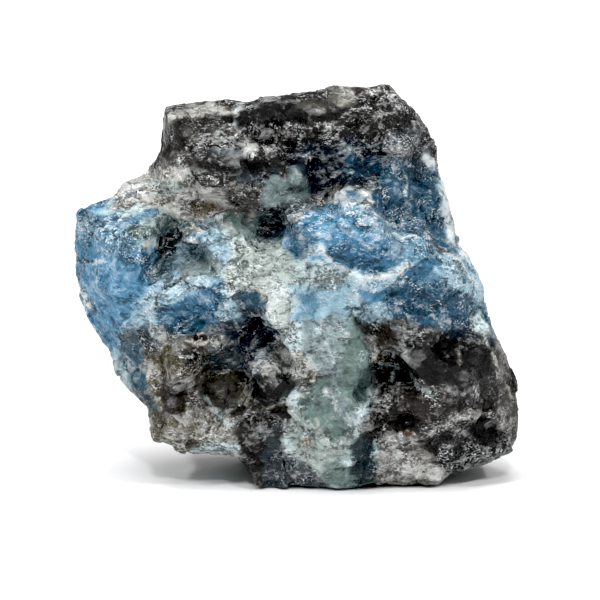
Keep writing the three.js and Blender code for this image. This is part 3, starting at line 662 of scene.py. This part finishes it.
def dark_seam(place, colour, neighbour):
    """Paints a ragged dark seam on the hidden side of a mineral, where it runs into its neighbour."""
    gap = np.array([neighbour.find_nearest(Vector(point / 1000))[3] for point in place]) * 1000
    torn = 2.2 * cloud(place, 5.0, 60) + 1.3 * cloud(place, 2.2, 61) + 0.6 * cloud(place, 0.9, 62)
    seam = smooth(torn + 1.8 - gap, -0.4, 0.4) * smooth(place[:, 1], 1.5, 5.0)
    colour += seam[:, None] * (0.8 * tones["smoky grey"] - colour)


def neighbour_mean(values, pairs, count):
    """The mean of each point's neighbours along the mesh's edges."""
    total = np.zeros_like(values)
    for column in range(values.shape[1]):
        total[:, column] = np.bincount(pairs[:, 0], values[pairs[:, 1], column], count)
        total[:, column] += np.bincount(pairs[:, 1], values[pairs[:, 0], column], count)
    return total / np.maximum(np.bincount(pairs.ravel(), minlength=count), 1)[:, None]


def painted_ridge_light_and_hollow_shade(mesh, place):
    """How much lighter or darker each point is painted for its height above its surroundings, near and wide.
    Ridges are painted paler, partly as bruised white edges and partly as painted highlight where they
    catch the light, and hollows are painted darker as painted shade."""
    count = len(place)
    pairs = np.empty(len(mesh.edges) * 2, int)
    mesh.edges.foreach_get("vertices", pairs)
    pairs = pairs.reshape(-1, 2)
    outward = np.empty(count * 3)
    mesh.vertex_normals.foreach_get("vector", outward)
    outward = outward.reshape(-1, 3)
    light = np.zeros(count)
    settled = place
    for rounds, strength, lowest, highest in ((5, 1.0, -0.12, 0.15), (25, 0.35, -0.8, 0.5)):
        for _ in range(rounds):
            settled = neighbour_mean(settled, pairs, count)
        light += strength * np.clip(((place - settled) * outward).sum(1), lowest, highest)
    return light


def broken_stone(name, node, point_spacing, hidden_tones, hidden_size, other=None):
    """A mineral's solid as a fine mesh, broken further into chips, with its skin painted on to its
    points."""
    neighbour = None
    if other:
        faces = [tuple(face.vertices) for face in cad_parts[other].data.polygons]
        neighbour = BVHTree.FromPolygons([point.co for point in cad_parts[other].data.vertices], faces)
    solid = fine_copy(name, node, point_spacing, neighbour)
    mesh = solid.data
    place = read(mesh, "place", 3)
    outward = read(mesh, "skin", 3)
    coarse_pull = 0.25
    fine_pull = 0.3
    towards = -coarse_pull * read(mesh, "coarse_inward", 3) - fine_pull * read(mesh, "fine_inward", 3)
    facing = -(outward @ toward_stone)
    skin = stone_skin(place, towards, facing, hidden_tones, hidden_size)
    colour, contrast, light, grain, relief, cracked = skin
    if neighbour:
        dark_seam(place, colour, neighbour)

    # Chips stand out most where the stone is crushed, and not at all where it stands on the table. Nothing
    # goes past the box of the CAD solids.
    swell = 0.12
    deepest = -2.1
    highest = 1.4
    chipping = 0.12 + 0.28 * cracked
    relief += chipping * read(mesh, "height", 1)
    standing = smooth(place[:, 2], 0.1, 1.2)
    place = place + outward * (swell + np.clip(relief, deepest, highest) * standing)[:, None]
    low, high = (np.array(corner) * 1000 for corner in cad_box)
    place = np.clip(place, low, high)
    mesh.vertices.foreach_set("co", (place / 1000).ravel())
    mesh.update()
    # The ridges' painted highlight and the hollows' painted shade are added to each point's lightness.
    light = light + painted_ridge_light_and_hollow_shade(mesh, place)

    for spent in ("coarse_inward", "fine_inward", "height"):
        mesh.attributes.remove(mesh.attributes[spent])
    painted = np.c_[linear(np.clip(colour, 0, 1)), np.ones(len(place))]
    for label, kind, field, numbers in (
        ("light", "FLOAT", "value", light * contrast),
        ("contrast", "FLOAT", "value", contrast),
        ("cracked", "FLOAT", "value", cracked),
        ("stone_tone", "FLOAT_COLOR", "color", painted),
        ("grain", "FLOAT_COLOR", "color", grain),
    ):
        layer = mesh.attributes.new(label, kind, "POINT")
        layer.data.foreach_set(field, numbers.ravel())
    mesh.shade_smooth()
    mesh.set_sharp_from_angle(angle=math.radians(30))
    return solid


def crystal_patterns(tree, place, sizes):
    """Clear and cloudy parts, about 2 mm across, and fine branching threads, about 0.9 mm apart. They are
    drawn out along the ways that the stone's grain runs, and each facet shows its own piece of them, so
    that a crack ends at its border. The real cracks are finer than a picture dot, and so they are drawn
    coarser and fewer."""
    shards = place
    for size, shift in zip(sizes, (3.0, 1.6, 0.7)):
        shards = add(tree, "ShaderNodeVectorMath", {0: size["own"], 1: (shift, shift, shift), 2: shards},
                     operation="MULTIPLY_ADD").outputs[0]
    grain = add(tree, "ShaderNodeAttribute", attribute_name="grain")
    ways = add(tree, "ShaderNodeSeparateColor", {"Color": grain.outputs["Color"]})
    shares = (None, ways.outputs["Green"], ways.outputs["Blue"], grain.outputs["Alpha"])
    for way, share in zip(grain_ways, shares):
        turned = add(tree, "ShaderNodeMapping", {"Vector": shards, "Rotation": (0, math.radians(way), 0),
                                                 "Scale": (0.42, 1.0, 1.0)}, vector_type="POINT").outputs[0]
        soft = add(tree, "ShaderNodeTexNoise", {"Vector": turned, "Scale": 0.45, "Detail": 5.0,
                                                "Roughness": 0.6, "Distortion": 0.4}).outputs["Fac"]
        sharp = add(tree, "ShaderNodeTexNoise", {"Vector": turned, "Scale": 1.15, "Detail": 6.0,
                                                 "Roughness": 0.7, "Offset": 0.9, "Gain": 1.2,
                                                 "Distortion": 0.25},
                    noise_type="RIDGED_MULTIFRACTAL").outputs["Fac"]
        if share is None:
            cloudy = soft
            threads = sharp
            continue
        cloudy = add(tree, "ShaderNodeMix", {"Factor": share, "A": cloudy, "B": soft}, data_type="FLOAT")
        cloudy = cloudy.outputs[0]
        threads = add(tree, "ShaderNodeMix", {"Factor": share, "A": threads, "B": sharp}, data_type="FLOAT")
        threads = threads.outputs[0]
    return cloudy, threads


def facet_normal(tree, sizes, cracked, threads, crumble):
    """Each facet's own slope, laid on the skin of the unbroken stone, so that the facets' edges stay crisp.
    Clean parts are nearly smooth and cracked parts are rough."""
    normal = add(tree, "ShaderNodeAttribute", attribute_name="skin").outputs["Vector"]
    for size, clean, crushed in zip(sizes, (0.3, 0.15, 0.15), (0.9, 0.8, 1.0)):
        amount = add(tree, "ShaderNodeMapRange", {"Value": cracked, "To Min": -clean, "To Max": -crushed})
        normal = add(tree, "ShaderNodeVectorMath", {0: size["slope"], 1: amount.outputs[0], 2: normal},
                     operation="MULTIPLY_ADD").outputs[0]
    flat = add(tree, "ShaderNodeVectorMath", {0: normal}, operation="NORMALIZE")
    relief = add(tree, "ShaderNodeMath", {0: threads, 1: 0.3, 2: crumble}, operation="MULTIPLY_ADD")
    bump = add(tree, "ShaderNodeBump", {"Height": relief.outputs[0], "Strength": 0.6, "Distance": 0.0015,
                                        "Normal": flat.outputs[0]})
    return bump.outputs[0]


def clear_to_cloudy(tree, pale, sizes, cracked, cloudy, threads, crumble):
    """The stone's own tone, deeper where it is clear and paler where it is cloudy, with painted highlight on
    ridges, painted shade in hollows and painted facet shading added.
    """
    tone_here = add(tree, "ShaderNodeAttribute", attribute_name="stone_tone").outputs["Color"]
    contrast = add(tree, "ShaderNodeAttribute", attribute_name="contrast").outputs["Fac"]
    # The light attribute holds the random mottle plus the painted highlight on ridges and painted shade in
    # hollows.
    light = add(tree, "ShaderNodeAttribute", attribute_name="light").outputs["Fac"]

    # The level runs from about -1, deep and clear, to 1, cloudy and pale.
    level = add(tree, "ShaderNodeMath", {0: cloudy, 1: 6.0, 2: -3.5}, operation="MULTIPLY_ADD").outputs[0]
    rough = add(tree, "ShaderNodeMath", {0: crumble, 1: 0.5}, operation="SUBTRACT")
    rough = add(tree, "ShaderNodeMath", {0: rough.outputs[0], 1: cracked}, operation="MULTIPLY")
    level = add(tree, "ShaderNodeMath", {0: rough.outputs[0], 1: 4.0, 2: level},
                operation="MULTIPLY_ADD").outputs[0]
    creased = add(tree, "ShaderNodeMath", {0: threads, 1: 0.9}, operation="SUBTRACT")
    amount = add(tree, "ShaderNodeMapRange", {"Value": cracked, "To Min": 0.15, "To Max": 1.0})
    level = add(tree, "ShaderNodeMath", {0: creased.outputs[0], 1: amount.outputs[0], 2: level},
                operation="MULTIPLY_ADD").outputs[0]
    # Each facet is made a little lighter or darker at random: partly the crystal's own uneven tone and partly
    # painted shading of facets that face the light or turn from it.
    for size in sizes:
        level = add(tree, "ShaderNodeMath", {0: size["shade"], 1: 0.35, 2: level},
                    operation="MULTIPLY_ADD").outputs[0]
    level = add(tree, "ShaderNodeMath", {0: level, 1: contrast, 2: light},
                operation="MULTIPLY_ADD").outputs[0]

    darker = add(tree, "ShaderNodeMapRange", {"Value": level, "From Min": -1.3, "From Max": 0.1,
                                              "To Min": 0.25, "To Max": 1.0})
    deep = add(tree, "ShaderNodeVectorMath", {0: tone_here, 1: darker.outputs[0]}, operation="MULTIPLY")
    lighter = add(tree, "ShaderNodeMapRange", {"Value": level, "From Min": 0.3, "From Max": 1.8,
                                               "To Min": 0.0, "To Max": 0.35})
    toned = add(tree, "ShaderNodeMix", {"Factor": lighter.outputs[0], "A": deep.outputs[0], "B": pale},
                data_type="VECTOR")
    return toned.outputs[1]


def white_cracks(tree, sizes, cracked, threads, whiteness):
    """How white the healed cracks are. Few of them show in clean glass. Where the stone was crushed they
    crowd, and the edges of its 1.5 mm facets are bruised white too."""
    fewest = add(tree, "ShaderNodeMapRange", {"Value": cracked, "To Min": 1.9, "To Max": 1.05})
    above = add(tree, "ShaderNodeMath", {0: threads, 1: fewest.outputs[0]}, operation="SUBTRACT")
    crack = add(tree, "ShaderNodeMapRange", {"Value": above.outputs[0], "From Min": 0.0, "From Max": 0.55,
                                             "To Min": 0.0, "To Max": whiteness})
    bruise = add(tree, "ShaderNodeMapRange", {"Value": sizes[1]["edge"], "From Min": 0.0, "From Max": 0.07,
                                              "To Min": 0.55, "To Max": 0.0})
    crushed = add(tree, "ShaderNodeMapRange", {"Value": cracked, "From Min": 0.7, "From Max": 1.0})
    bruise = add(tree, "ShaderNodeMath", {0: bruise.outputs[0], 1: crushed.outputs[0]}, operation="MULTIPLY")
    kept = add(tree, "ShaderNodeMapRange", {"Value": threads, "From Min": 0.8, "From Max": 1.2})
    return add(tree, "ShaderNodeMath", {0: bruise.outputs[0], 1: kept.outputs[0], 2: crack.outputs[0]},
               operation="MULTIPLY_ADD", use_clamp=True).outputs[0]


def glassy_fracture(name, ior, specular_level, smoothest, roughest, whiteness, glow):
    """A broken crystal. Clear and cloudy parts run into each other, fine white cracks branch where it was
    strained, and small glassy facets each lean their own way. glow is how much light is carried inside."""
    finish = bpy.data.materials.new(name)
    finish.use_nodes = True
    tree = finish.node_tree
    tree.nodes.clear()
    place = add(tree, "ShaderNodeAttribute", attribute_name="place").outputs["Vector"]
    cracked = add(tree, "ShaderNodeAttribute", attribute_name="cracked").outputs["Fac"]
    sizes = facets(tree, place)
    cloudy, threads = crystal_patterns(tree, place, sizes)

    # Cracks crowd together in spots about 3 mm across, and crushed stone has crumbs about 0.8 mm across.
    crowd = add(tree, "ShaderNodeTexNoise", {"Vector": place, "Scale": 0.3, "Detail": 4.0, "Roughness": 0.6})
    crowd = add(tree, "ShaderNodeMath", {0: crowd.outputs["Fac"], 1: 2.6, 2: -1.3}, operation="MULTIPLY_ADD")
    cracked = add(tree, "ShaderNodeMath", {0: cracked, 1: crowd.outputs[0]}, operation="ADD", use_clamp=True)
    cracked = cracked.outputs[0]
    crumble = add(tree, "ShaderNodeTexNoise", {"Vector": place, "Scale": 1.3, "Detail": 4.0, "Roughness": 0.7,
                                               "Distortion": 0.2}).outputs["Fac"]

    # What the light shows where a crack or a cloud throws it back is nearly white.
    pale = tuple(linear(tone("eef1f1")))
    toned = clear_to_cloudy(tree, pale, sizes, cracked, cloudy, threads, crumble)
    web = white_cracks(tree, sizes, cracked, threads, whiteness)
    colour = add(tree, "ShaderNodeMix", {"Factor": web, "A": toned, "B": pale}, data_type="VECTOR")
    worn = add(tree, "ShaderNodeMapRange", {"Value": sizes[1]["polish"], "To Min": smoothest,
                                            "To Max": roughest})
    shader = add(tree, "ShaderNodeBsdfPrincipled", {
        "Base Color": colour.outputs[1],
        "Roughness": worn.outputs[0],
        "IOR": ior,
        "Specular IOR Level": specular_level,
        "Subsurface Weight": glow,
        "Subsurface Radius": (0.8, 0.9, 1.0),
        "Subsurface Scale": 0.001,
        "Normal": facet_normal(tree, sizes, cracked, threads, crumble),
    })
    add(tree, "ShaderNodeOutputMaterial", {"Surface": shader.outputs[0]})
    return finish


quartz = broken_stone(
    "smoky_quartz", "smoky_quartz_matrix", 0.485,
    ("smoky grey", "smoky brown", "clean black", "smoky black", "smoky brown", "worn grey"), (15, 9, 8),
)

# Smoky quartz is clear silica, browned in the ground, with an IOR of 1.544. It broke like glass, so its
# facets run from nearly polished, 0.06, to bruised, 0.3. To the eye it is dark glass with sharp glints and
# dull grey cracks. Its shine is set lower than its IOR gives, because the many hair cracks under its skin
# break the reflection up.
glassy_smoky_quartz = glassy_fracture(
    "glassy_smoky_quartz", ior=1.544, specular_level=0.24, smoothest=0.06, roughest=0.3, whiteness=0.75,
    glow=0.0,
)
quartz.data.materials.append(glassy_smoky_quartz)
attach(quartz, "root")
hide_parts("smoky_quartz_matrix")


# The aquamarine. It is one intergrown mass of blue to sea-green beryl: a blue lobe at the left, a pale
# crumbled band and foot through the middle, and a deeper blue dome and shoulder at the right. It grew from
# hot water in the quartz and was broken open with it, so the two share their cracks.
aquamarine = broken_stone(
    "blue_aquamarine", "aquamarine", 0.392,
    ("deep blue", "strong blue", "sky blue", "dusty blue", "ice"), (12, 8, 8), other="smoky_quartz_matrix",
)

# Aquamarine is beryl coloured by iron, with an IOR of 1.577 and the same glassy break. It is full of healed
# cracks, so it is translucent and not clear. To the eye it is blue glass with milky clouds and bright white
# cracks, softened by the light that goes a millimetre into it.
glassy_aquamarine = glassy_fracture(
    "glassy_aquamarine", ior=1.577, specular_level=0.3, smoothest=0.06, roughest=0.3, whiteness=1.0,
    glow=0.08,
)
aquamarine.data.materials.append(glassy_aquamarine)
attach(aquamarine, "root")
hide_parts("aquamarine")


# The table and the light. The stone stands on a seamless white table under a wide soft light from above,
# with three small lamps in front that give the broken edges their sparks.
table_mesh = bpy.data.meshes.new("white_table")
table_mesh.from_pydata([(-6, -6, 0), (6, -6, 0), (6, 6, 0), (-6, 6, 0)], [], [(0, 1, 2, 3)])
table = bpy.data.objects.new("white_table", table_mesh)
bpy.context.scene.collection.objects.link(table)
table.location.z = -0.00005

# White laminate is paper in clear resin, pressed to a matt face, so it has only a weak, broad shine.
white_laminate = bpy.data.materials.new("white_laminate")
white_laminate.use_nodes = True
laminate = white_laminate.node_tree.nodes["Principled BSDF"]
laminate.inputs["Base Color"].default_value = (*linear(tone("f6f6f7")), 1)
laminate.inputs["Roughness"].default_value = 0.6
laminate.inputs["Specular IOR Level"].default_value = 0.2
table_mesh.materials.append(white_laminate)

# Each lamp's strength, its width in degrees as the stone sees it, and its tilts towards the viewer and
# sideways.
for name, strength, width, forward, sideways in (
    ("soft_light", 2.0, 40, 6, -6),
    ("left_spark", 0.95, 5, 32, -34),
    ("middle_spark", 0.95, 5, 48, 2),
    ("right_spark", 0.95, 5, 30, 36),
):
    sun = bpy.data.lights.new(name, "SUN")
    sun.energy = strength
    sun.angle = math.radians(width)
    lamp = bpy.data.objects.new(name, sun)
    bpy.context.scene.collection.objects.link(lamp)
    lamp.rotation_euler = (math.radians(forward), math.radians(sideways), 0)

# The room is dim at the floor and brighter at the ceiling.
room = bpy.data.worlds.new("dim_room")
bpy.context.scene.world = room
room.use_nodes = True
walls = room.node_tree
direction = add(walls, "ShaderNodeTexCoord")
height = add(walls, "ShaderNodeSeparateXYZ", {"Vector": direction.outputs["Generated"]})
ceiling = add(walls, "ShaderNodeMapRange", {"Value": height.outputs["Z"], "To Min": 0.15, "To Max": 0.7})
walls.links.new(ceiling.outputs[0], walls.nodes["Background"].inputs["Strength"])
walls.nodes["Background"].inputs["Color"].default_value = (1, 1, 1, 1)

# The photograph's blacks were pulled down when it was edited, and so are these.
view = bpy.context.scene.view_settings
view.view_transform = "Standard"
view.use_curve_mapping = True
view.curve_mapping.black_level = (0.018, 0.018, 0.018)
